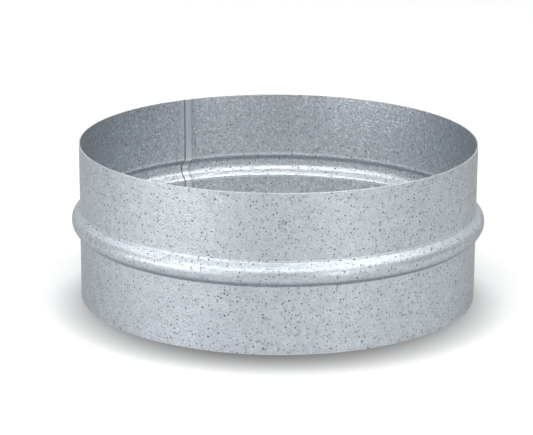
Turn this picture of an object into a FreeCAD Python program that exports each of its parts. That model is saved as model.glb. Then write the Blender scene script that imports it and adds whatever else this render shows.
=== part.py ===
"""Galvanised duct connector: a strip of zinc-coated sheet steel rolled into a ring, closed by a
narrow welded lap, with a stop bead rolled outwards round its middle.

A duct slides over each end until it meets the bead. The ring stands on its lower rim with its
axis on +Z, and the origin is the centre of that rim. Lengths are in millimetres.
"""

import FreeCAD, Part
import Sketcher
import math
import os

PARTS_FOLDER = "parts"
RING_LABEL = "connector_ring"

# Driving dimensions: sheet alias, value and what it measures.
SIZES = (
    ("collar_diameter", 199.0, "outside of the two plain collars, 1 mm under a 200 mm duct"),
    ("collar_length", 39.2, "each collar, from its rim to the middle of the bead"),
    ("sheet_thickness", 0.6, "zinc-coated sheet"),
    ("bead_rise", 4.2, "bead's crest above the collars' outer face"),
    ("bead_crest_radius", 5.2, "outer face of the bead's rounded crest"),
    ("bead_root_radius", 0.8, "outer face of the bends where the bead leaves the collars"),
    ("bead_flank_angle", 51.0, "straight sides of the bead, in degrees from the collars' wall"),
    ("lap_angle", 119.6, "lap's middle, in degrees from +X about +Z"),
    ("lap_width", 3.1, "overlap of the strip's two ends, along the ring"),
    ("lap_step", 0.25, "height of each end's cut edge above the wall it is welded to"),
    ("lap_lead", 4.0, "length over which each end rises to the lap, along the ring"),
    ("lead_depth", 0.1, "depth below the wall's face at which a lead starts"),
)
DEGREES_PER_LENGTH = "360 / (pi * sizes.collar_diameter)"

# How far a section's faces stand proud of the plain wall: a factor and the size it multiplies.
FLUSH = (0, "lap_step")
LAPPED = (1, "lap_step")
LEAD_START = (-1, "lead_depth")
MID_SHEET = (-0.5, "sheet_thickness")

# Points and axes as a sketch numbers them.
START, END, CENTRE = range(1, 4)
X_AXIS = ORIGIN = -1


def make_size_sheet(doc):
    """Spreadsheet with one aliased cell for each driving dimension."""
    sheet = doc.addObject("Spreadsheet::Sheet", "sizes")
    for row, (alias, value, meaning) in enumerate(SIZES, start=1):
        sheet.set(f"A{row}", meaning)
        sheet.set(f"B{row}", str(value))
        sheet.setAlias(f"B{row}", alias)
    doc.recompute()
    return sheet


def section_measures(sizes, outward, inward):
    """Measures of a section whose faces stand proud of the plain wall by the given lengths."""
    collar = sizes.collar_diameter / 2
    return {
        "outer_radius": collar + outward,
        "wall": sizes.sheet_thickness + outward + inward,
        "height": sizes.collar_length,
        "root_radius": sizes.bead_root_radius - outward,
        "crest_radius": sizes.bead_crest_radius + outward,
        "crest_reach": collar + sizes.bead_rise - sizes.bead_crest_radius,
        "flank_slope": math.radians(90 + sizes.bead_flank_angle),
    }


def section_formulas(outward, inward):
    """The same measures as expressions on the sheet."""
    return {
        "outer_radius": f"(sizes.collar_diameter / 2 + {outward}) * 1 mm",
        "wall": f"(sizes.sheet_thickness + {outward} + {inward}) * 1 mm",
        "height": "sizes.collar_length * 1 mm",
        "root_radius": f"(sizes.bead_root_radius - {outward}) * 1 mm",
        "crest_radius": f"(sizes.bead_crest_radius + {outward}) * 1 mm",
        "crest_reach": "(sizes.collar_diameter / 2 + sizes.bead_rise - sizes.bead_crest_radius) * 1 mm",
        "flank_slope": "(90 + sizes.bead_flank_angle) * 1 deg",
    }


def section_outline(measures):
    """Edges of the sheet's section above the bead's middle, anticlockwise from its crest.

    The section comes down the bead's crest and flank, bends into the collar and runs to the rim.
    Each bend is a pair of arcs about one centre, one for each face of the sheet.
    """
    outer = measures["outer_radius"]
    wall = measures["wall"]
    inner = outer - wall
    top = measures["height"]
    crest = measures["crest_radius"]
    crest_x = measures["crest_reach"]
    root = measures["root_radius"]
    root_x = outer + root
    flank = measures["flank_slope"] - math.pi / 2
    bends = root + crest
    flank_run = (crest_x + crest - outer - bends * (1 - math.cos(flank))) / math.sin(flank)
    root_y = bends * math.sin(flank) + flank_run * math.cos(flank)

    def point(x, y):
        return FreeCAD.Vector(x, y, 0)

    def on_crest(radius):
        return point(crest_x + radius * math.cos(flank), radius * math.sin(flank))

    def on_root(radius):
        return point(root_x - radius * math.cos(flank), root_y - radius * math.sin(flank))

    def line(start, end):
        return Part.LineSegment(start, end)

    def arc(x, y, radius, start, end):
        circle = Part.Circle(point(x, y), FreeCAD.Vector(0, 0, 1), radius)
        return Part.ArcOfCircle(circle, start, end)

    return [
        arc(crest_x, 0, crest, 0, flank),
        line(on_crest(crest), on_root(root)),
        arc(root_x, root_y, root, math.pi, math.pi + flank),
        line(point(outer, root_y), point(outer, top)),
        line(point(outer, top), point(inner, top)),
        line(point(inner, top), point(inner, root_y)),
        arc(root_x, root_y, root + wall, math.pi, math.pi + flank),
        line(on_root(root + wall), on_crest(crest - wall)),
        arc(crest_x, 0, crest - wall, 0, flank),
        line(point(crest_x + crest - wall, 0), point(crest_x + crest, 0)),
    ]


def draw_section(body, name, sizes, outward=FLUSH, inward=FLUSH, angle="0"):
    """Sketch of the upper half of the sheet's section, turned about the axis and bound to the sheet."""
    sketch = body.newObject("Sketcher::SketchObject", name)
    plane = next(feature for feature in body.Origin.OriginFeatures if feature.Role == "XZ_Plane")
    sketch.AttachmentSupport = [(plane, "")]
    sketch.MapMode = "FlatFace"
    sketch.AttachmentOffset = FreeCAD.Placement(
        FreeCAD.Vector(), FreeCAD.Rotation(FreeCAD.Vector(0, 1, 0), sizes.lap_angle)
    )
    sketch.setExpression("AttachmentOffset.Base.y", "sizes.collar_length * 1 mm")
    sketch.setExpression("AttachmentOffset.Rotation.Angle", f"({angle}) * 1 deg")

    proud_values = [factor * getattr(sizes, alias) for factor, alias in (outward, inward)]
    proud_terms = [f"({factor} * sizes.{alias})" for factor, alias in (outward, inward)]
    measures = section_measures(sizes, *proud_values)
    formulas = section_formulas(*proud_terms)
    sketch.addGeometry(section_outline(measures), False)
    crest, flank, root, outside, rim, inside, in_root, in_flank, in_crest, middle = range(10)

    def constrain(*terms):
        return sketch.addConstraint(Sketcher.Constraint(*terms))

    # The outline is closed: smooth along both faces and cornered at the rim and the bead's middle.
    for first, first_end, second, second_end in (
        (crest, END, flank, START),
        (flank, END, root, END),
        (root, START, outside, START),
        (inside, END, in_root, START),
        (in_root, END, in_flank, START),
        (in_flank, END, in_crest, END),
    ):
        constrain("Tangent", first, first_end, second, second_end)
    for first, first_end, second, second_end in (
        (outside, END, rim, START),
        (rim, END, inside, START),
        (in_crest, START, middle, START),
        (middle, END, crest, START),
    ):
        constrain("Coincident", first, first_end, second, second_end)
    for upright in (outside, inside):
        constrain("Vertical", upright)
    constrain("Horizontal", rim)

    # The crest's bends lie on the bead's middle, and the sheet's two faces are parallel throughout.
    for edge, end in ((crest, CENTRE), (crest, START), (in_crest, START)):
        constrain("PointOnObject", edge, end, X_AXIS)
    for inner_bend, outer_bend in ((in_root, root), (in_crest, crest)):
        constrain("Coincident", inner_bend, CENTRE, outer_bend, CENTRE)
    constrain("Parallel", in_flank, flank)

    # Driving dimensions.
    for measure, *terms in (
        ("outer_radius", "DistanceX", ORIGIN, START, outside, START),
        ("wall", "DistanceX", rim, END, rim, START),
        ("height", "DistanceY", ORIGIN, START, outside, END),
        ("root_radius", "Radius", root),
        ("crest_radius", "Radius", crest),
        ("crest_reach", "DistanceX", ORIGIN, START, crest, CENTRE),
        ("flank_slope", "Angle", flank),
    ):
        index = constrain(*terms, measures[measure])
        sketch.renameConstraint(index, measure)
        sketch.setExpression(f"Constraints.{measure}", formulas[measure])
    return sketch


def revolve(doc, body, name, section):
    """Turns a section about the ring's axis, a full turn until its angle is bound."""
    turned = body.newObject("PartDesign::Revolution", name)
    turned.Profile = section
    turned.ReferenceAxis = (section, ["V_Axis"])
    turned.Angle = 360
    doc.recompute()
    return turned


def add_lap(doc, body, sizes):
    """The strip's two ends where they overlap and are welded: one lies inside the other.

    Over the overlap the wall is thicker on both faces. The inner end rises to it along its own
    side and stops at a cut edge on the other, and the outer end does the same the other way
    round, so each face of the ring shows one sharp step and one gentle rise.
    """
    lap_section = draw_section(body, "lap_section", sizes, LAPPED, LAPPED, "sizes.lap_angle")
    lap = revolve(doc, body, "welded_lap", lap_section)
    lap.Midplane = True
    lap.setExpression("Angle", f"sizes.lap_width * {DEGREES_PER_LENGTH} * 1 deg")
    doc.recompute()

    features = [lap]
    for name, side, outward_start, outward_end, inward_start, inward_end in (
        ("inner_end", "-", MID_SHEET, MID_SHEET, LEAD_START, LAPPED),
        ("outer_end", "+", LEAD_START, LAPPED, MID_SHEET, MID_SHEET),
    ):
        lap_edge = f"sizes.lap_angle {side} sizes.lap_width / 2 * {DEGREES_PER_LENGTH}"
        lead_edge = f"{lap_edge} {side} sizes.lap_lead * {DEGREES_PER_LENGTH}"
        start = draw_section(body, f"{name}_start", sizes, outward_start, inward_start, lead_edge)
        finish = draw_section(body, f"{name}_finish", sizes, outward_end, inward_end, lap_edge)
        lead = body.newObject("PartDesign::AdditiveLoft", f"{name}_lead")
        lead.Profile = start
        lead.Sections = [finish]
        lead.Ruled = True
        body.Tip = lead
        doc.recompute()
        features.append(lead)
    return features


def make_ring(doc, sizes):
    """The whole connector: the upper half's wall and lap, mirrored at the middle of the bead."""
    body = doc.addObject("PartDesign::Body", RING_LABEL)
    body.Label = RING_LABEL
    wall_section = draw_section(body, "wall_section", sizes, angle="sizes.lap_angle")
    upper_half = [revolve(doc, body, "rolled_wall", wall_section)] + add_lap(doc, body, sizes)
    whole = body.newObject("PartDesign::Mirrored", "both_halves")
    whole.Originals = upper_half
    whole.MirrorPlane = (wall_section, ["H_Axis"])
    body.Tip = whole
    doc.recompute()
    return body


def check(doc, pieces):
    """Stops the build if an object failed or a piece is not one valid solid."""
    for item in doc.Objects:
        if "Invalid" in item.State or "Error" in item.State:
            raise RuntimeError(f"{item.Name} failed: {item.State}")
    for piece in pieces:
        shape = piece.Shape
        if shape.isNull() or not shape.isValid() or len(shape.Solids) != 1:
            raise RuntimeError(f"{piece.Label} is not one valid solid")


def main():
    doc = FreeCAD.newDocument("duct_connector")
    sizes = make_size_sheet(doc)
    pieces = [make_ring(doc, sizes)]
    check(doc, pieces)
    os.makedirs(PARTS_FOLDER, exist_ok=True)
    for piece in pieces:
        piece.Shape.exportStep(os.path.join(PARTS_FOLDER, f"{piece.Label}.step"))
        box = piece.Shape.optimalBoundingBox()
        print(
            f"{piece.Label}: {box.XLength:.2f} x {box.YLength:.2f} x {box.ZLength:.2f} mm,"
            f" {piece.Shape.Volume:.0f} mm3, {len(piece.Shape.Faces)} faces"
        )


main()
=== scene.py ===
import math

import bpy
from mathutils import Matrix, Vector


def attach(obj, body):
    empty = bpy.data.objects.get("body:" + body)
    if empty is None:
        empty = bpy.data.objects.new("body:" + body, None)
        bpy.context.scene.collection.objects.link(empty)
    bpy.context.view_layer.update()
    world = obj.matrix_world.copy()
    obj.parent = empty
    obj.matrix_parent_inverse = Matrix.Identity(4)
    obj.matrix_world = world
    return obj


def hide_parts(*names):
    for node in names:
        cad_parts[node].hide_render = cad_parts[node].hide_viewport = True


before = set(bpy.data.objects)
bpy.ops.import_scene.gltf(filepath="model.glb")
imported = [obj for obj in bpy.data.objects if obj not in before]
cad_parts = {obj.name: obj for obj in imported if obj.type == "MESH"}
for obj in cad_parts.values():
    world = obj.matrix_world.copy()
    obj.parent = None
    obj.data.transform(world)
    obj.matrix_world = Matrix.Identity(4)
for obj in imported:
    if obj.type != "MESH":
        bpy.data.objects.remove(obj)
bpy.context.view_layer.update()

# Connector ring: one strip of galvanised sheet steel, rolled into a ring and closed by a welded
# lap, where one end of the strip lies over the other. A stop bead is rolled outwards round the
# middle, so both faces of the sheet follow it, and the two rims are cut square.
MM = 0.001
RING_SIZES = {
    "collar radius": 99.5 * MM,
    "collar length": 39.2 * MM,
    "sheet thickness": 0.6 * MM,
    "bead rise": 4.2 * MM,
    "crest radius": 5.2 * MM,
    "root radius": 0.8 * MM,
    "flank angle": math.radians(51.0),
    "rim chamfer": 0.06 * MM,
    "lap angle": math.radians(119.6),
    "lap width": 3.1 * MM,
    "lap step": 0.25 * MM,
    "lap lead": 4.0 * MM,
    "lead depth": 0.1 * MM,
    "cut edge run": 0.1 * MM,
    "crevice width": 0.28 * MM,
    "weld track start": -2.5 * MM,
    "weld track end": 4.9 * MM,
    "lap reach": 6.4 * MM,
}
# Edges along the section, from the lower rim to the upper one, and round the ring.
SECTION_EDGES = {
    "lower collar": 8,
    "lower root": 6,
    "lower flank": 3,
    "crest": 18,
    "upper flank": 3,
    "upper root": 6,
    "upper collar": 8,
}
PLAIN_COLUMNS = 448
LAP_COLUMNS = 128
ROUNDING_GUARD = 1e-4
SHARP_EDGE = math.radians(30)
MERGE_DISTANCE = 0.004 * MM
# Marks that the mesh carries for its finish, and how strongly the weld has left its own.
WELD_TRACK_MARK = "weld_track"
WELD_LINE_MARK = "weld_line"
INNER_FACE_MARK = "inner_face"
PAST_BEND_MARK = "past_bend"
TRACK_PAST_CUT_EDGE = 0.4
TRACK_BORDER = 0.5
TRACK_LINE_ON_BEAD = 0.85
TRACK_LINE_ON_COLLAR = 0.4
TRACK_LINE_FADE = 1.0 * MM


class Signal:
    """A node's output that takes part in Python arithmetic: each operator adds a Math node."""

    def __init__(self, tree, socket):
        self.tree = tree
        self.socket = socket

    @staticmethod
    def add_node(tree, kind, settings=None, sockets=None, output=0):
        """Adds a node, sets its properties and then its sockets, and returns one of its outputs."""
        node = tree.nodes.new(kind)
        for name, value in (settings or {}).items():
            setattr(node, name, value)
        for name, value in (sockets or {}).items():
            target = node.inputs[name]
            if isinstance(value, Signal):
                tree.links.new(value.socket, target)
            else:
                target.default_value = value
        return Signal(tree, node.outputs[output])

    def other(self, output):
        """Another output of the same node."""
        return Signal(self.tree, self.socket.node.outputs[output])

    def maths(self, operation, *others):
        values = dict(enumerate((self, *others)))
        return self.add_node(self.tree, "ShaderNodeMath", {"operation": operation}, values)

    def reversed_maths(self, operation, first):
        values = {0: first, 1: self}
        return self.add_node(self.tree, "ShaderNodeMath", {"operation": operation}, values)

    def __add__(self, other):
        return self.maths("ADD", other)

    def __radd__(self, other):
        return self.reversed_maths("ADD", other)

    def __sub__(self, other):
        return self.maths("SUBTRACT", other)

    def __rsub__(self, other):
        return self.reversed_maths("SUBTRACT", other)

    def __mul__(self, other):
        return self.maths("MULTIPLY", other)

    def __rmul__(self, other):
        return self.reversed_maths("MULTIPLY", other)

    def __truediv__(self, other):
        return self.maths("DIVIDE", other)

    def sin(self):
        return self.maths("SINE")

    def cos(self):
        return self.maths("COSINE")

    def floor(self):
        return self.maths("FLOOR")

    def magnitude(self):
        return self.maths("ABSOLUTE")

    def least(self, other):
        return self.maths("MINIMUM", other)

    def most(self, other):
        return self.maths("MAXIMUM", other)

    def between(self, low, high):
        return self.most(low).least(high)

    def share(self, start, span):
        """How far this has gone from start over the span, from 0 to 1."""
        return ((self - start) / span).between(0.0, 1.0)

    def blend(self, first, second):
        """The colour that lies this far from the first one to the second."""
        colours = {0: self, 6: first, 7: second}
        return self.add_node(self.tree, "ShaderNodeMix", {"data_type": "RGBA"}, colours, output=2)


def rolled_ring_tree():
    """The ring as a tree of nodes: columns of points round the axis, each a section of the sheet."""
    tree = bpy.data.node_groups.new("rolled_ring", "GeometryNodeTree")
    tree.interface.new_socket(name="Ring", in_out="OUTPUT", socket_type="NodeSocketGeometry")
    entry = tree.nodes.new("NodeGroupInput")
    for name in RING_SIZES:
        tree.interface.new_socket(name=name, in_out="INPUT", socket_type="NodeSocketFloat")
    for name in ("plain columns", "lap columns"):
        tree.interface.new_socket(name=name, in_out="INPUT", socket_type="NodeSocketInt")
    tree.interface.new_socket(name="finish", in_out="INPUT", socket_type="NodeSocketMaterial")
    size = {name: Signal(tree, entry.outputs[name]) for name in entry.outputs.keys() if name}

    def node(kind, settings=None, sockets=None, output=0):
        return Signal.add_node(tree, kind, settings, sockets, output)

    # Each vertex knows its column and its place round the section: up the outside, down the inside.
    face_edges = sum(SECTION_EDGES.values())
    face_points = face_edges + 3
    loop_points = 2 * face_points
    columns = size["plain columns"] + size["lap columns"]
    grid = node(
        "GeometryNodeMeshGrid",
        sockets={"Vertices X": columns + 1, "Vertices Y": loop_points + 1},
    )
    index = node("GeometryNodeInputIndex")
    column = (index / (loop_points + 1) + ROUNDING_GUARD).floor()
    place = index - column * (loop_points + 1)
    place = place - (place / loop_points + ROUNDING_GUARD).floor() * loop_points
    on_inside = (place / face_points + ROUNDING_GUARD).floor()
    step = place - on_inside * face_points
    step = step + on_inside * (face_points - 1 - 2 * step)

    # Section: its bends and straight runs one after another, along the middle of the sheet.
    thickness = size["sheet thickness"]
    flank = size["flank angle"]
    chamfer = size["rim chamfer"]
    bends = size["root radius"] + size["crest radius"]
    flank_run = (size["bead rise"] - bends * (1 - flank.cos())) / flank.sin()
    half_bead = bends * flank.sin() + flank_run * flank.cos()
    root = size["root radius"] + thickness / 2
    crest = size["crest radius"] - thickness / 2
    collar = size["collar length"] - half_bead - chamfer
    along = {}
    first_edge = 1
    for run, edges in SECTION_EDGES.items():
        along[run] = step.share(float(first_edge), float(edges))
        first_edge += edges
    foot_end = 1 - step.share(0.0, 1.0)
    rim_end = step.share(float(face_points - 2), 1.0)

    lower_turn = along["lower root"] * flank
    crest_turn = flank - along["crest"] * flank * 2
    upper_turn = along["upper root"] * flank - flank
    radius = (
        size["collar radius"] - thickness / 2
        + root * (1 - lower_turn.cos())
        + flank_run * flank.sin() * (along["lower flank"] - along["upper flank"])
        + crest * (crest_turn.cos() - flank.cos())
        + root * (flank.cos() - upper_turn.cos())
    )
    height = (
        chamfer * (1 - foot_end + rim_end)
        + collar * (along["lower collar"] + along["upper collar"])
        + root * lower_turn.sin()
        + flank_run * flank.cos() * (along["lower flank"] + along["upper flank"])
        + crest * (flank.sin() - crest_turn.sin())
        + root * (upper_turn.sin() + flank.sin())
    )
    tilt = flank * (along["lower root"] - along["crest"] * 2 + along["upper root"])

    # Lap: each end rises gently to the overlap on its own side and stops at a cut edge on the other.
    along_lap = column.share(size["plain columns"], size["lap columns"])
    across = size["lap reach"] * (along_lap * 2 - 1)
    towards_edge = across * (on_inside * 2 - 1)
    half_lap = size["lap width"] / 2
    climb = (towards_edge + half_lap + size["lap lead"]) / size["lap lead"]
    lap_rise = climb * (size["lap step"] + size["lead depth"]) - size["lead depth"]
    cut_edge = ((half_lap - towards_edge) / size["cut edge run"] + 0.5).between(0.0, 1.0)
    lap_rise = lap_rise.between(0.0, size["lap step"]) * cut_edge
    face_offset = (thickness / 2 + lap_rise - chamfer * (foot_end + rim_end)) * (1 - on_inside * 2)

    lap_zone = size["lap reach"] * 2 / size["collar radius"]
    angle = (
        size["lap angle"] + lap_zone / 2
        + column.share(0.0, size["plain columns"]) * (2 * math.pi - lap_zone)
        + along_lap * lap_zone
    )
    face_radius = radius + face_offset * tilt.cos()
    face_height = height - face_offset * tilt.sin()
    position = node(
        "ShaderNodeCombineXYZ",
        sockets={"X": face_radius * angle.cos(), "Y": face_radius * angle.sin(), "Z": face_height},
    )
    shaped = node("GeometryNodeSetPosition", sockets={"Geometry": grid, "Position": position})

    # Marks of the weld on each face: the wheel's track, full as far as the cut edge and faint beyond
    # it, and the dark lines at the cut edge's foot and along the track's own edge, which is deeper
    # on the bead. Every point also knows how far past the bead's outer bend it lies.
    def line_at(middle, half_line):
        return (2 - ((towards_edge - middle) / half_line).magnitude() * 2).between(0.0, 1.0)

    track_start = size["weld track start"]
    crevice = size["crevice width"]
    weld_track = (
        towards_edge.share(track_start, crevice)
        - (1 - TRACK_PAST_CUT_EDGE) * towards_edge.share(half_lap, crevice)
        - TRACK_PAST_CUT_EDGE * towards_edge.share(size["weld track end"], crevice * 2)
        + TRACK_BORDER * line_at(track_start + crevice * 1.5, crevice)
    )
    past_bend = (face_height - size["collar length"]).magnitude() - half_bead
    on_collar = past_bend.share(-TRACK_LINE_FADE, TRACK_LINE_FADE)
    track_depth = TRACK_LINE_ON_BEAD - (TRACK_LINE_ON_BEAD - TRACK_LINE_ON_COLLAR) * on_collar
    track_line = line_at(track_start, crevice) * track_depth
    weld_line = line_at(half_lap + crevice, crevice).most(track_line)
    for mark, value in (
        (WELD_TRACK_MARK, weld_track),
        (WELD_LINE_MARK, weld_line),
        (INNER_FACE_MARK, on_inside),
        (PAST_BEND_MARK, past_bend),
    ):
        shaped = node(
            "GeometryNodeStoreNamedAttribute",
            {"data_type": "FLOAT", "domain": "POINT"},
            {"Geometry": shaped, "Name": mark, "Value": value},
        )

    # The grid's ends meet and are joined, and only the cut edges stay crisp.
    closed = node(
        "GeometryNodeMergeByDistance",
        sockets={"Geometry": shaped, "Distance": MERGE_DISTANCE},
    )
    smooth = node(
        "GeometryNodeSetShadeSmooth",
        {"domain": "FACE"},
        {"Geometry": closed, "Shade Smooth": True},
    )
    turn = node("GeometryNodeInputMeshEdgeAngle")
    corner = node(
        "FunctionNodeCompare",
        {"data_type": "FLOAT", "operation": "GREATER_THAN"},
        {0: turn, 1: SHARP_EDGE},
    )
    crisp = node(
        "GeometryNodeSetShadeSmooth",
        {"domain": "EDGE"},
        {"Geometry": smooth, "Selection": corner, "Shade Smooth": False},
    )
    whole = node("GeometryNodeRealizeInstances", sockets={"Geometry": crisp})
    finished = node("GeometryNodeSetMaterial", sockets={"Geometry": whole, "Material": size["finish"]})
    leave = tree.nodes.new("NodeGroupOutput")
    tree.links.new(finished.socket, leave.inputs["Ring"])
    return tree


# Colours of the zinc coating: dull and bright metal, its light flecks (also the colour of the painted
# highlights and glints) and dark specks, the lap as the weld wheel has pressed it, and the tint that
# the metal takes on where it is seen edge on.
ZINC_DULL = (0.412, 0.455, 0.494, 1.0)
ZINC_BRIGHT = (0.6, 0.635, 0.675, 1.0)
ZINC_FLECK = (0.78, 0.82, 0.855, 1.0)
ZINC_SPECK = (0.07, 0.08, 0.09, 1.0)
ZINC_GRAZING = (0.6, 0.6, 0.6, 1.0)
WELD_TRACK = (0.75, 0.785, 0.82, 1.0)
# Specks and flecks: the cell that holds one at most, its radius, how much of it is full, and how far
# its outline wanders.
SPECK_CELL = 1.5 * MM
SPECK_RADIUS = 0.57 * MM
FAINT_CELL = 1.0 * MM
FAINT_RADIUS = 0.4 * MM
FLECK_CELL = 1.7 * MM
FLECK_RADIUS = 0.5 * MM
SPOT_CORE = 0.4
SPECK_WANDER = 1.1 * MM
# Unevenness of the coating, in waves to a metre, from the finest to the broadest.
GRAIN_SCALE = 1100.0
WANDER_SCALE = 900.0
GLINT_SCALE = 750.0
CLOUD_SCALE = 240.0
BLOOM_SCALE = 16.0
GLINT_FROM = 0.5
GLINT_SPAN = 0.2
# Marks of the rollers, long and narrow along the bead, and the painted highlight beside its bends.
ROLLER_MARK_LENGTH = 14 * MM
ROLLER_MARK_WIDTH = 0.35 * MM
ROLLER_MARK_FROM = 0.56
ROLLER_MARK_SPAN = 0.14
ROLLED_FROM = 0.6 * MM
ROLLED_SPAN = 2.0 * MM
BEND_LINE_START = -0.2 * MM
BEND_LINE_END = 0.35 * MM
BEND_LINE_FADE = 0.3 * MM
UPPER_HALF_FADE = 0.1 * MM
BARE_RIM = 0.08 * MM
BARE_RIM_FADE = 0.15 * MM
# How much each of these covers the sheet, and what it adds to the roughness and the relief.
MOTTLE = {"grain": 1.1, "bloom": 0.6, "threshold": 0.85}
COVER = {
    "faint specks": 0.5,
    "flecks": 0.5,
    "painted_glints": 0.85,
    "roller marks": 0.25,
    "outer bend": 0.7,
    "groove": 0.5,
    "outer weld track": 0.5,
    "inner weld track": 0.8,
    "pressed": 0.85,
    "bare rim": 0.7,
    "weld line": 0.9,
}
ROUGHNESS = {
    "sheet": 0.45,
    "bright metal": -0.12,
    "specks": 0.15,
    "roller marks": -0.05,
    "weld track": -0.06,
    "bare rim": -0.1,
}
RELIEF = {"cloud": 0.5, "flecks": 0.4, "specks": -0.5}
SURFACE_RELIEF = 0.15 * MM


def galvanised_sheet():
    """Zinc-coated steel: a half-matt grey metal, finely mottled and strewn with small dark specks."""
    finish = bpy.data.materials.new("zinc_coated_steel")
    finish.use_nodes = True
    tree = finish.node_tree
    tree.nodes.clear()

    def node(kind, settings=None, sockets=None, output=0):
        return Signal.add_node(tree, kind, settings, sockets, output)

    def noise(vector, scale, detail):
        return node("ShaderNodeTexNoise", sockets={"Vector": vector, "Scale": scale, "Detail": detail})

    def mesh_mark(name):
        return node("ShaderNodeAttribute", {"attribute_name": name}, output="Fac")

    place = node("ShaderNodeTexCoord", output="Object")
    x = node("ShaderNodeSeparateXYZ", sockets={"Vector": place})
    y = x.other("Y")
    z = x.other("Z")
    radius = (x * x + y * y).maths("SQRT")
    arc = (y.maths("ARCTAN2", x) - RING_SIZES["lap angle"]) * RING_SIZES["collar radius"]

    # The weld wheel has pressed the lap light and smooth, and its cut edge stands over a dark line.
    # Painted highlights: the bead's bends, outside only the upper one, and the groove's lower half.
    track = mesh_mark(WELD_TRACK_MARK)
    weld_line = mesh_mark(WELD_LINE_MARK)
    inner_face = mesh_mark(INNER_FACE_MARK)
    past_bend = mesh_mark(PAST_BEND_MARK)
    on_bead_side = 1 - past_bend.share(BEND_LINE_END, BEND_LINE_FADE)
    bend_line = on_bead_side + past_bend.share(BEND_LINE_START, BEND_LINE_FADE) - 1
    on_upper_half = z.share(RING_SIZES["collar length"], UPPER_HALF_FADE)
    painted_bend_highlights = bend_line * inner_face.most(on_upper_half * COVER["outer bend"])
    painted_groove_highlight = on_bead_side * inner_face * (1 - on_upper_half) * COVER["groove"]
    painted_bead_highlights = painted_bend_highlights.most(painted_groove_highlight)

    # Specks and flecks of the coating: at most one to a cell, drawn out of round by a small wander.
    wander = node(
        "ShaderNodeVectorMath",
        {"operation": "MULTIPLY_ADD"},
        {0: noise(place, WANDER_SCALE, 1.0).other("Color"), 1: (SPECK_WANDER,) * 3, 2: place},
    )

    def spots(cell, spot_radius):
        spot = node("ShaderNodeTexVoronoi", sockets={"Vector": wander, "Scale": 1 / cell})
        strength = node("ShaderNodeSeparateColor", sockets={"Color": spot.other("Color")})
        outline = spot_radius / cell
        return (1 - spot.share(SPOT_CORE * outline, (1 - SPOT_CORE) * outline)) * strength

    unpressed = 1 - track * COVER["pressed"]
    strong = spots(SPECK_CELL, SPECK_RADIUS) * unpressed
    faint = spots(FAINT_CELL, FAINT_RADIUS) * unpressed * COVER["faint specks"]
    specks = strong.most(faint)
    # Painted glints: fine patches of the inner face painted lighter, as sparkle of reflected light.
    painted_glints = noise(place, GLINT_SCALE, 1.0).share(GLINT_FROM, GLINT_SPAN) * inner_face
    flecks = spots(FLECK_CELL, FLECK_RADIUS) * COVER["flecks"]
    flecks = flecks.most(painted_glints * COVER["painted_glints"]) * unpressed

    # Mottling of the zinc, fine and coarse, and marks of the bead's rollers along its crest.
    grain = noise(place, GRAIN_SCALE, 2.0)
    cloud = noise(place, CLOUD_SCALE, 3.0)
    bloom = noise(place, BLOOM_SCALE, 2.0)
    mottle = grain * MOTTLE["grain"] + cloud + bloom * MOTTLE["bloom"] - MOTTLE["threshold"]
    mottle = mottle.between(0.0, 1.0)
    roll_place = node(
        "ShaderNodeCombineXYZ",
        sockets={
            "X": arc / ROLLER_MARK_LENGTH,
            "Y": z / ROLLER_MARK_WIDTH,
            "Z": radius / ROLLER_MARK_WIDTH,
        },
    )
    on_bead = radius.share(RING_SIZES["collar radius"] + ROLLED_FROM, ROLLED_SPAN)
    roller_marks = noise(roll_place, 1.0, 2.0).share(ROLLER_MARK_FROM, ROLLER_MARK_SPAN) * on_bead

    # The cut rims are bare at the very edge.
    from_rim = z.least(2 * RING_SIZES["collar length"] - z)
    bare_rim = 1 - from_rim.share(BARE_RIM, BARE_RIM_FADE)

    inner_gain = COVER["inner weld track"] - COVER["outer weld track"]
    sheet = mottle.blend(ZINC_DULL, ZINC_BRIGHT)
    sheet = flecks.blend(sheet, ZINC_FLECK)
    sheet = (roller_marks * COVER["roller marks"]).blend(sheet, ZINC_FLECK)
    # Painted highlights along the bead's bends and the groove.
    sheet = painted_bead_highlights.blend(sheet, ZINC_FLECK)
    sheet = (track * (COVER["outer weld track"] + inner_gain * inner_face)).blend(sheet, WELD_TRACK)
    sheet = (bare_rim * COVER["bare rim"]).blend(sheet, ZINC_FLECK)
    colour = specks.most(weld_line * COVER["weld line"]).blend(sheet, ZINC_SPECK)
    roughness = (
        ROUGHNESS["sheet"]
        + ROUGHNESS["bright metal"] * mottle
        + ROUGHNESS["specks"] * specks
        + ROUGHNESS["roller marks"] * roller_marks
        + ROUGHNESS["weld track"] * track
        + ROUGHNESS["bare rim"] * bare_rim
    )
    relief = (
        (grain + cloud * RELIEF["cloud"]) * unpressed
        + flecks * RELIEF["flecks"]
        + specks * RELIEF["specks"]
    )
    bumped = node(
        "ShaderNodeBump",
        sockets={"Strength": 1.0, "Distance": SURFACE_RELIEF, "Height": relief},
    )
    shader = node(
        "ShaderNodeBsdfPrincipled",
        sockets={
            "Base Color": colour,
            "Metallic": 1.0,
            "Specular Tint": ZINC_GRAZING,
            "Roughness": roughness,
            "Normal": bumped,
        },
    )
    output = tree.nodes.new("ShaderNodeOutputMaterial")
    tree.links.new(shader.socket, output.inputs["Surface"])
    return finish


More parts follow.
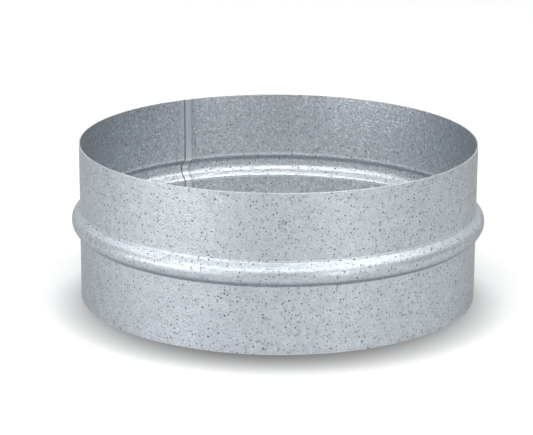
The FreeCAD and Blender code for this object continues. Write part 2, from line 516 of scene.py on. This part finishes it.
ring_finish = galvanised_sheet()
ring_tree = rolled_ring_tree()
ring = bpy.data.objects.new("galvanised_ring", bpy.data.meshes.new("galvanised_ring"))
bpy.context.scene.collection.objects.link(ring)
shaping = ring.modifiers.new("rolled_ring", "NODES")
shaping.node_group = ring_tree
ring_sockets = ring_tree.interface.items_tree
inputs = {item.name: item.identifier for item in ring_sockets if item.in_out == "INPUT"}
for name, value in RING_SIZES.items():
    shaping[inputs[name]] = value
shaping[inputs["plain columns"]] = PLAIN_COLUMNS
shaping[inputs["lap columns"]] = LAP_COLUMNS
shaping[inputs["finish"]] = ring_finish
bpy.context.view_layer.update()
evaluated = ring.evaluated_get(bpy.context.evaluated_depsgraph_get())
ring_mesh = bpy.data.meshes.new_from_object(evaluated)
ring.modifiers.remove(shaping)
ring.data = ring_mesh
# The grid brings an empty material slot with it, and only the zinc's own slot is kept.
for slot_index in reversed(range(len(ring_mesh.materials))):
    if ring_mesh.materials[slot_index] is None:
        ring_mesh.materials.pop(index=slot_index)
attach(ring, "root")
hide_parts("connector_ring")

# Floor: a plain white studio sweep, matt, under and far behind the ring. Its colour is painted by ray:
# the camera sees it white with a painted shadow where the ring stands, and the ring mirrors it a little
# greyer, but painted paler close by.
FLOOR_HALF = 6.0
FLOOR_WHITE = (0.8, 0.8, 0.8, 1.0)
PAINTED_CONTACT_SHADOW = (0.18, 0.18, 0.18, 1.0)
FLOOR_MIRRORED = (0.63, 0.63, 0.63, 1.0)
PAINTED_PALE_NEAR_RING = (0.9, 0.9, 0.9, 1.0)
FLOOR_ROUGHNESS = 0.9
CONTACT_SHADE_REACH = 41 * MM
CONTACT_SHADE_LEAN = math.radians(62)
CONTACT_SHADE_FULL = 0.34
CONTACT_SHADE_SPAN = 0.48
CONTACT_SHADE_SAMPLES = 16
floor_mesh = bpy.data.meshes.new("studio_floor")
floor_sides = ((-1, -1), (1, -1), (1, 1), (-1, 1))
floor_corners = [(side_x * FLOOR_HALF, side_y * FLOOR_HALF, 0.0) for side_x, side_y in floor_sides]
floor_mesh.from_pydata(floor_corners, [], [(0, 1, 2, 3)])
floor = bpy.data.objects.new("studio_floor", floor_mesh)
bpy.context.scene.collection.objects.link(floor)
floor_finish = bpy.data.materials.new("studio_white")
floor_finish.use_nodes = True
floor_tree = floor_finish.node_tree
shade_lean = Signal.add_node(
    floor_tree,
    "ShaderNodeCombineXYZ",
    sockets={"Y": math.sin(CONTACT_SHADE_LEAN), "Z": math.cos(CONTACT_SHADE_LEAN)},
)
openness = Signal.add_node(
    floor_tree,
    "ShaderNodeAmbientOcclusion",
    {"samples": CONTACT_SHADE_SAMPLES},
    {"Distance": CONTACT_SHADE_REACH, "Normal": shade_lean},
    output="AO",
)
# The camera sees the painted shadow; mirror rays see the floor greyer, painted paler near the ring.
seen = Signal.add_node(floor_tree, "ShaderNodeLightPath", output="Is Camera Ray")
floor_shown = openness.share(CONTACT_SHADE_FULL, CONTACT_SHADE_SPAN).blend(PAINTED_CONTACT_SHADOW, FLOOR_WHITE)
floor_mirrored = openness.blend(PAINTED_PALE_NEAR_RING, FLOOR_MIRRORED)
floor_colour = seen.blend(floor_mirrored, floor_shown)
floor_shader = floor_tree.nodes["Principled BSDF"]
floor_tree.links.new(floor_colour.socket, floor_shader.inputs["Base Color"])
floor_shader.inputs["Roughness"].default_value = FLOOR_ROUGHNESS
floor_shader.inputs["Specular IOR Level"].default_value = 0.0
floor_mesh.materials.append(floor_finish)

# Light: a dim room on the viewer's side, a pale backdrop behind the ring and a pale ceiling, with
# softboxes and low panels round the ring and a small softbox close above it, for the groove.
ROOM = 0.42
BACKDROP = 1.15
BACKDROP_FROM = 0.3
BACKDROP_SPAN = 0.5
CEILING = 0.95
SOFTBOX_DISTANCE = 1.5
TOP_SOFTBOX_DISTANCE = 0.65
world = bpy.data.worlds.new("studio")
world.use_nodes = True
sky_tree = world.node_tree
sky_place = Signal.add_node(sky_tree, "ShaderNodeTexCoord", output="Generated")
sky_back = Signal.add_node(sky_tree, "ShaderNodeSeparateXYZ", sockets={"Vector": sky_place}, output="Y")
sky_rise = sky_back.other("Z").between(0.0, 1.0)
sky_low = ROOM + sky_back.share(BACKDROP_FROM, BACKDROP_SPAN) * (BACKDROP - ROOM)
sky_strength = sky_low * (1 - sky_rise) + sky_rise * CEILING
surroundings = sky_tree.nodes["Background"]
surroundings.inputs["Color"].default_value = (1.0, 1.0, 1.0, 1.0)
sky_tree.links.new(sky_strength.socket, surroundings.inputs["Strength"])
bpy.context.scene.world = world


def add_softbox(name, azimuth, rise, width, height, radiance, distance=SOFTBOX_DISTANCE):
    """A rectangular softbox facing the ring, placed by its azimuth and its rise above the floor."""
    light = bpy.data.lights.new(name, "AREA")
    light.shape = "RECTANGLE"
    light.size = width
    light.size_y = height
    light.energy = math.pi * width * height * radiance
    softbox = bpy.data.objects.new(name, light)
    bpy.context.scene.collection.objects.link(softbox)
    azimuth = math.radians(azimuth)
    rise = math.radians(rise)
    level = math.cos(rise)
    outward = Vector((math.cos(azimuth) * level, math.sin(azimuth) * level, math.sin(rise)))
    softbox.location = outward * distance
    softbox.rotation_euler = (-outward).to_track_quat("-Z", "Y").to_euler()


add_softbox("left_panel", azimuth=-146, rise=7, width=1.55, height=0.6, radiance=2.8)
add_softbox("left_softbox", azimuth=-138, rise=31, width=1.1, height=1.0, radiance=0.7)
add_softbox("left_strip", azimuth=-134, rise=50, width=1.2, height=0.4, radiance=2.0)
add_softbox("rear_left_softbox", azimuth=151, rise=49, width=0.9, height=0.5, radiance=1.7)
add_softbox("front_softbox", azimuth=-80, rise=54, width=1.3, height=0.45, radiance=1.8)
add_softbox("right_softbox", azimuth=-20, rise=57, width=1.2, height=0.8, radiance=1.55)
add_softbox("far_right_softbox", azimuth=20, rise=38, width=1.0, height=0.9, radiance=0.3)
add_softbox("right_panel", azimuth=-54, rise=10, width=0.7, height=0.6, radiance=2.3)
add_softbox("rear_softbox", azimuth=92, rise=60, width=1.1, height=0.7, radiance=0.7)
add_softbox(
    "top_softbox", azimuth=-90, rise=86, width=0.6, height=0.25, radiance=1.4, distance=TOP_SOFTBOX_DISTANCE
)

# Camera: a long lens a little above the ring, as in a product picture. It is aimed past the ring's
# middle, so that the ring stands a little right of and above the middle of the picture.
PICTURE_WIDTH = 533
FOCAL_PIXELS = 2246.0
SENSOR_WIDTH = 36.0
CAMERA_RISE = math.radians(16.233)
CAMERA_ROLL = math.radians(0.27)
CAMERA_DISTANCE = 1.1333
RING_RIGHT_PIXELS = 11.47
RING_UP_PIXELS = 2.63
camera_data = bpy.data.cameras.new("camera")
camera_data.sensor_width = SENSOR_WIDTH
camera_data.lens = FOCAL_PIXELS / PICTURE_WIDTH * SENSOR_WIDTH
camera = bpy.data.objects.new("camera", camera_data)
bpy.context.scene.collection.objects.link(camera)
ring_middle = Vector((0.0, 0.0, RING_SIZES["collar length"]))
view_back = Vector((0.0, -math.cos(CAMERA_RISE), math.sin(CAMERA_RISE)))
view_up = Vector((0.0, math.sin(CAMERA_RISE), math.cos(CAMERA_RISE)))
view_right = Vector((1.0, 0.0, 0.0))
camera_place = ring_middle + view_back * CAMERA_DISTANCE
metres_per_pixel = CAMERA_DISTANCE / FOCAL_PIXELS
aim_offset = (view_right * RING_RIGHT_PIXELS + view_up * RING_UP_PIXELS) * metres_per_pixel
aim = (ring_middle - aim_offset - camera_place).to_track_quat("-Z", "Y").to_matrix().to_4x4()
camera.matrix_world = Matrix.Translation(camera_place) @ aim @ Matrix.Rotation(CAMERA_ROLL, 4, "Z")
bpy.context.scene.camera = camera
bpy.context.scene.view_settings.view_transform = "Standard"
